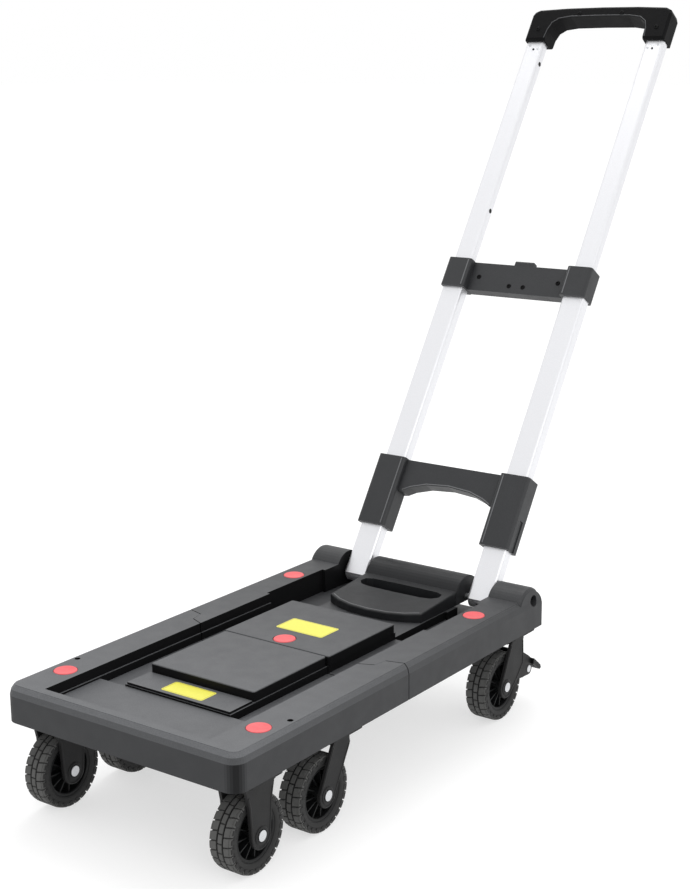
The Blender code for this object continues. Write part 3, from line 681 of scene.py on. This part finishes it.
tyre = bmesh.new()
half_tyre = [
    (0.0273, 0.0107),
    (0.0280, 0.0115),
    (0.0300, 0.0121),
    (0.0322, 0.0123),
    (0.0326, 0.0119),
    (0.0350, 0.0117),
    (0.0365, 0.0108),
    (groove_radius, 0.0098),
    (groove_radius, 0.0042),
    (0.0362, 0.0038),
    (0.0362, 0.0028),
    (groove_radius, 0.0024),
]
wheel_band(tyre, half_tyre, 90)
for i in range(block_count):
    angle = 2 * math.pi * i / block_count
    offset = math.pi / block_count
    for sign, turn in ((1, angle), (-1, angle + offset)):
        crown = (sign * 0.0043, sign * 0.0101)
        shoulder = (sign * 0.0098, sign * 0.0120)
        flank = (sign * 0.0112, sign * 0.0125)
        arc_block(tyre, turn, 0.84, crown, (block_root, tyre_radius), sign * 0.03)
        arc_block(tyre, turn + sign * 0.03, 0.84, shoulder, (0.0345, tyre_radius - 0.0005), sign * 0.01)
        arc_block(tyre, turn + sign * 0.04, 0.52, flank, (0.0326, 0.0366))
    arc_block(tyre, angle + offset / 2, 0.84, (-0.0022, 0.0022), (block_root, tyre_radius))
for face in tyre.faces:
    reach = max(math.hypot(vert.co.y, vert.co.z) for vert in face.verts)
    face.material_index = 1 if reach > groove_radius + 0.0001 else 0
tyre_mesh = smooth_mesh(tyre, "block_tread_tyre", [sidewall_rubber, tread_rubber], 35)


# Wheel centres. Black nylon in one moulding: a long boss for the axle, a thin dished web, straight
# ribs on both faces and the band that the tyre is moulded round.

black_nylon = moulded_plastic("black_nylon", "08090a", "0e0f10", 0.50, 1.2, 0.4, 0.25)
centre = bmesh.new()
half_centre = [
    (0.0044, 0.0126),
    (0.0078, 0.0126),
    (0.0086, 0.0120),
    (0.0092, 0.0024),
    (0.0234, 0.0018),
    (0.0242, 0.0098),
    (0.0252, 0.0105),
    (0.0271, 0.0105),
]
wheel_band(centre, half_centre, 56)
rib_count = 12
rib_ends = ((0.0080, 0.0096), (0.0246, 0.0080))  # (radius, how far it stands out there)
for i in range(rib_count):
    turn = Matrix.Rotation(2 * math.pi * i / rib_count, 4, "X")
    for sign in (-1, 1):
        corners = []
        for radius, reach in rib_ends:
            for width, depth in ((-0.0008, 0.0), (0.0008, 0.0), (0.0006, reach), (-0.0006, reach)):
                corners.append(centre.verts.new(turn @ Vector((sign * depth, width, radius))))
        for j in range(4):
            after = (j + 1) % 4
            centre.faces.new((corners[j], corners[after], corners[4 + after], corners[4 + j]))
        centre.faces.new(corners[3::-1])
        centre.faces.new(corners[4:8])
centre_mesh = smooth_mesh(centre, "ribbed_wheel_centre", [black_nylon], 30)

wheel_places = ("front_left", "front_right", "mid_left", "mid_right", "rear_left", "rear_right")
for where in wheel_places:
    low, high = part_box(f"tyre_{where}")
    middle = Matrix.Translation((low + high) / 2)
    for kind, mesh, slot in (("tyre", tyre_mesh, "tyre_rubber"), ("hub", centre_mesh, "black_plastic")):
        moulding = fitted(f"{kind}_moulding_{where}", mesh, middle, f"wheel_{where}")
        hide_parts(f"{kind}_{where}")


# Caster forks. Dark grey glass-filled nylon with a raised rim along both edges of each leg and a
# round boss behind the bright peened end of the axle. The swivel plates are the same nylon.

grey_nylon = moulded_plastic("glass_filled_nylon", "1a1a1b", "232323", 0.48, 1.0, 0.5, 0.16)
coat(grey_nylon, *[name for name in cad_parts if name.startswith(("fork_", "caster_plate_"))])


def arc_points(middle, radius, start, end, steps):
    """Points along an arc, between two angles in degrees."""
    turns = [math.radians(start + (end - start) * i / steps) for i in range(steps + 1)]
    return [(middle[0] + radius * math.cos(a), middle[1] + radius * math.sin(a)) for a in turns]


axle_height = 0.0382
leg_face = 0.0171
caster_trail = 0.0240
stems = {"front": 0.0446, "mid": 0.1673, "rear": 0.4960}
collar = [
    (0.0056, 0.0),
    (0.0088, 0.0),
    (0.0088, 0.0004),
    (0.0080, 0.0008),
    (0.0064, 0.0008),
    (0.0056, 0.0002),
]
front_rim = [(-0.0170, 0.0800), (-0.0147, 0.0700)]
front_rim += arc_points((0.0, axle_height), 0.0122, 180, 360, 12)
front_rim += [(0.0147, 0.0700), (0.0170, 0.0800)]
mid_rim = [(-0.0140, 0.0830)]
mid_rim += arc_points((-caster_trail, axle_height), 0.0112, 165, 350, 12)
mid_rim += [(0.0108, 0.0790)]
rear_rim = [(-0.0140, 0.0830)]
rear_rim += arc_points((-caster_trail, axle_height), 0.0112, 165, 315, 10)
rear_rim += [(-0.0020, 0.0425), (0.0100, 0.0560), (0.0108, 0.0640), (0.0100, 0.0830)]
rims = {"front": front_rim, "mid": mid_rim, "rear": rear_rim}
rim_size = (0.0018, 0.0006)
for where in wheel_places:
    row, side = where.split("_")
    low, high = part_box(f"tyre_{where}")
    stem = Vector(((low.x + high.x) / 2, deck_front + stems[row], 0.0))
    trail = 0.0 if row == "front" else caster_trail
    body = "front_platform" if row == "front" else f"swivel_{where}"
    for sign in (-1, 1):
        face = "outer" if (sign > 0) == (side == "right") else "inner"
        out = Vector((sign, 0.0, 0.0))
        at = stem + Vector((sign * leg_face, -trail, axle_height))
        rim = [stem + Vector((sign * leg_face, y, z)) for y, z in rims[row]]
        turned(f"axle_boss_{where}_{face}", collar, 28, at, out, grey_nylon, body)
        raised_rib(f"leg_rim_{where}_{face}", rim, out, rim_size, grey_nylon, body)


# Brake pedals. A black nylon lever over each rear wheel, pinned through the ears of the fork, with
# four ridges across the toe for the shoe.

pedal_pin_height = 0.0445
pedal_ear = 0.0174
toe_start = Vector((0.0, 0.0120, 0.0084))
toe_run = Vector((0.0, 0.0150, -0.0118))
ridge_half_length = 0.0155
ridge_profile = ((0.0, -0.0006), (0.0011, 0.0003), (0.0004, 0.0011), (-0.0006, 0.0006))
pedal_rivet = [(0.0, 0.0), (0.0040, 0.0), (0.0040, 0.0004), (0.0032, 0.0009), (0.0, 0.0011)]
for side in ("left", "right"):
    coat(black_nylon, f"brake_pedal_rear_{side}")
    low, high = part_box(f"brake_pedal_rear_{side}")
    pin_y = deck_front + stems["rear"] + caster_trail
    pin = Vector(((low.x + high.x) / 2, pin_y, pedal_pin_height))
    for i in range(4):
        bm = bmesh.new()
        ends = []
        for x in (-ridge_half_length, ridge_half_length):
            ends.append([bm.verts.new((x, y, z)) for y, z in ridge_profile])
        for j in range(4):
            bm.faces.new((ends[0][j], ends[0][(j + 1) % 4], ends[1][(j + 1) % 4], ends[1][j]))
        bm.faces.new(ends[0])
        bm.faces.new(list(reversed(ends[1])))
        name = f"pedal_ridge_{side}_{i}"
        ridge = smooth_mesh(bm, name, [black_nylon], 20)
        at = Matrix.Translation(pin + toe_start + toe_run * (0.25 + 0.20 * i))
        fitted(name, ridge, at, f"brake_rear_{side}")
    for sign, end in ((-1, "a"), (1, "b")):
        name = f"pedal_rivet_{side}_{end}"
        at = pin + Vector((sign * pedal_ear, 0.0, 0.0))
        body = f"swivel_rear_{side}"
        turned(name, pedal_rivet, 24, at, (sign, 0, 0), zinc_steel, body)


# Handle tubes. Rectangular aluminium extrusions, brushed lengthways and silver anodised almost
# white. The smaller pair slides inside the larger, with spring-pin holes in the inner sides.

lean = math.radians(33.4)
brush_width_mm = 0.67  # real brush lines are about 0.1 mm wide, and are drawn coarser to show
brush_length_mm = 111.0
anodised, tree, shader, spot = new_material("silver_anodised_aluminium")
stand = node(
    tree,
    "Mapping",
    {
        "Rotation": (lean, 0.0, 0.0),
        "Scale": (repeats(brush_width_mm), repeats(brush_width_mm), repeats(brush_length_mm)),
    },
    [(spot, "Vector")],
)
brush = node(tree, "TexNoise", {"Scale": 1.0, "Detail": 3.0}, [(stand.outputs["Vector"], "Vector")])
mixed = node(
    tree,
    "Mix",
    {"data_type": "RGBA", 6: linear("dfe0e3"), 7: linear("eeeef1")},
    [(brush.outputs["Fac"], 0)],
)
tree.links.new(mixed.outputs[2], shader.inputs["Base Color"])
streak = node(tree, "MapRange", {"To Min": 0.30, "To Max": 0.46}, [(brush.outputs["Fac"], "Value")])
tree.links.new(streak.outputs["Result"], shader.inputs["Roughness"])
lines = node(tree, "Bump", {"Strength": 0.12, "Distance": 0.00004}, [(brush.outputs["Fac"], "Height")])
tree.links.new(lines.outputs["Normal"], shader.inputs["Normal"])
shader.inputs["Metallic"].default_value = 0.85
tubing = ("outer_tube", "inner_tube", "handle_foot")
coat(anodised, *[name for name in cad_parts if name.startswith(tubing)])

leaning = Matrix.Rotation(-lean, 3, "X")
hinge = Vector((0.0, deck_front + 0.5045, 0.1205))
tube_start = hinge + leaning @ Vector((0.0, -0.0077, -0.0048))
face_front = leaning @ Vector((0.0, -1.0, 0.0))


def on_handle(x, back, up):
    """A point in the leaning handle: across, back through the tubes and up along them."""
    return tube_start + leaning @ Vector((x, back, up))


# Painted shade: near-black discs for the shade inside the holes they sit on.
pin_shade_material = new_material("shadowed_pin_hole")
pin_hole, _, shader, _ = pin_shade_material
cloud_colour(pin_shade_material, "060606", "141415", 1.7, 2.0)
shader.inputs["Roughness"].default_value = 0.8

inner_side = 0.07098
tube_middle = 0.0034
tube_front = tube_middle - 0.0068
hole_lip = [(0.0, 0.00005), (0.0022, 0.00005), (0.0027, 0.00022), (0.0030, 0.0), (0.0, -0.0004)]
tube_rivet = [(0.0, -0.0001), (0.0015, -0.0001), (0.0014, 0.0004), (0.0008, 0.0007), (0.0, 0.0008)]
rivet_places = ((0.0766, 0.7160, zinc_steel), (0.0890, 0.7205, zinc_steel), (0.0828, 0.7152, pin_hole))
for sign, side in ((-1, "left"), (1, "right")):
    for i, up in enumerate((0.4860, 0.6974)):
        name = f"pin_hole_{side}_{i}"
        at = on_handle(sign * inner_side, tube_middle, up)
        inward = (-sign, 0, 0)
        turned(name, hole_lip, 20, at, inward, pin_hole, "upper_handle")
    for i, (x, up, finish) in enumerate(rivet_places):
        name = f"tube_rivet_{side}_{i}"
        at = on_handle(sign * x, tube_front, up)
        turned(name, tube_rivet, 16, at, face_front, finish, "upper_handle")


# Low and middle brackets. Charcoal ABS clamps round both tubes, the low one arched over the carry
# handle. A fine rib stands along the inner edge of each sleeve, and one follows the arch. The ribs'
# pale colour is a painted highlight along those edges.

yoke_abs = moulded_plastic("yoke_abs", "262729", "2e2f31", 0.48, grain_mm, 0.5, 0.35)
coat(yoke_abs, "low_bracket", "mid_bracket", "release_button")

sleeve_ribs = (("yoke_rib", -0.0099, (0.0650, 0.1475)), ("sleeve_rib", -0.0095, (0.3785, 0.4125)))
sleeve_rib_size = (0.0015, 0.0006)
for sign, side in ((-1, "left"), (1, "right")):
    for kind, back, span in sleeve_ribs:
        name = f"{kind}_{side}"
        line = [on_handle(sign * 0.0700, back, up) for up in span]
        raised_rib(name, line, face_front, sleeve_rib_size, rib_highlight_abs, "lower_handle")
arch_half = [(0.0600, 0.1113), (0.0500, 0.1166), (0.0300, 0.1226), (0.0, 0.1251)]
arch_line = arch_half + [(-x, up) for x, up in reversed(arch_half[:-1])]
arch_points = [on_handle(x, -0.0029, up) for x, up in arch_line]
fine_rib_size = (0.0014, 0.0005)
raised_rib("arch_rib", arch_points, face_front, fine_rib_size, rib_highlight_abs, "lower_handle")


# Grip. Two near-black ABS shells screwed together round the tube ends, smooth and satin from
# handling, with an arched opening for the hand and a rib round its edge, painted paler as a highlight.

grip_abs = moulded_plastic("grip_abs", "09090a", "101011", 0.50, 0.8, 0.35, 0.06)
coat(grip_abs, "grip")
# Painted highlight: the opening's rib is coloured pale for the light caught along its edge.
grip_rim_highlight_abs = moulded_plastic("grip_rim_highlight_abs", "2e2f31", "3a3b3e", 0.42, 0.8, 0.3, 0.40)
opening_half = [
    (0.0700, 0.7290),
    (0.0685, 0.7412),
    (0.0650, 0.7512),
    (0.0568, 0.7574),
    (0.0406, 0.7600),
    (0.0, 0.7605),
]
opening_line = opening_half + [(-x, up) for x, up in reversed(opening_half[:-1])]
rim = [on_handle(x, -0.0089, up) for x, up in opening_line]
name = "grip_opening_rib"
raised_rib(name, rim, face_front, fine_rib_size, grip_rim_highlight_abs, "upper_handle")


# Bracket and grip screws. Pan heads sunk in the moulded faces, each in a dark hole; their near-black
# colour is painted shade, for the shade in the holes.

# Painted shade: near-black for the shade in the screw holes.
hole_shade_tones = new_material("painted_hole_shade_discs")
hole_shade_finish, _, shader, _ = hole_shade_tones
cloud_colour(hole_shade_tones, "050505", "0e0e0f", 1.4, 2.0)
shader.inputs["Roughness"].default_value = 0.55
shader.inputs["Specular IOR Level"].default_value = 0.1
shell_screw = screw_profile(0.0029)
screw_places = (
    (0.0545, 0.0013, 0.3950, "lower_handle"),
    (0.0096, 0.0013, 0.3860, "lower_handle"),
    (0.0823, -0.0091, 0.7419, "upper_handle"),
    (0.0295, -0.0091, 0.7634, "upper_handle"),
)
for sign, side in ((-1, "left"), (1, "right")):
    for i, (x, back, up, body) in enumerate(screw_places):
        name = f"shell_screw_{side}_{i}"
        at = on_handle(sign * x, back, up)
        turned(name, shell_screw, 20, at, face_front, hole_shade_finish, body)
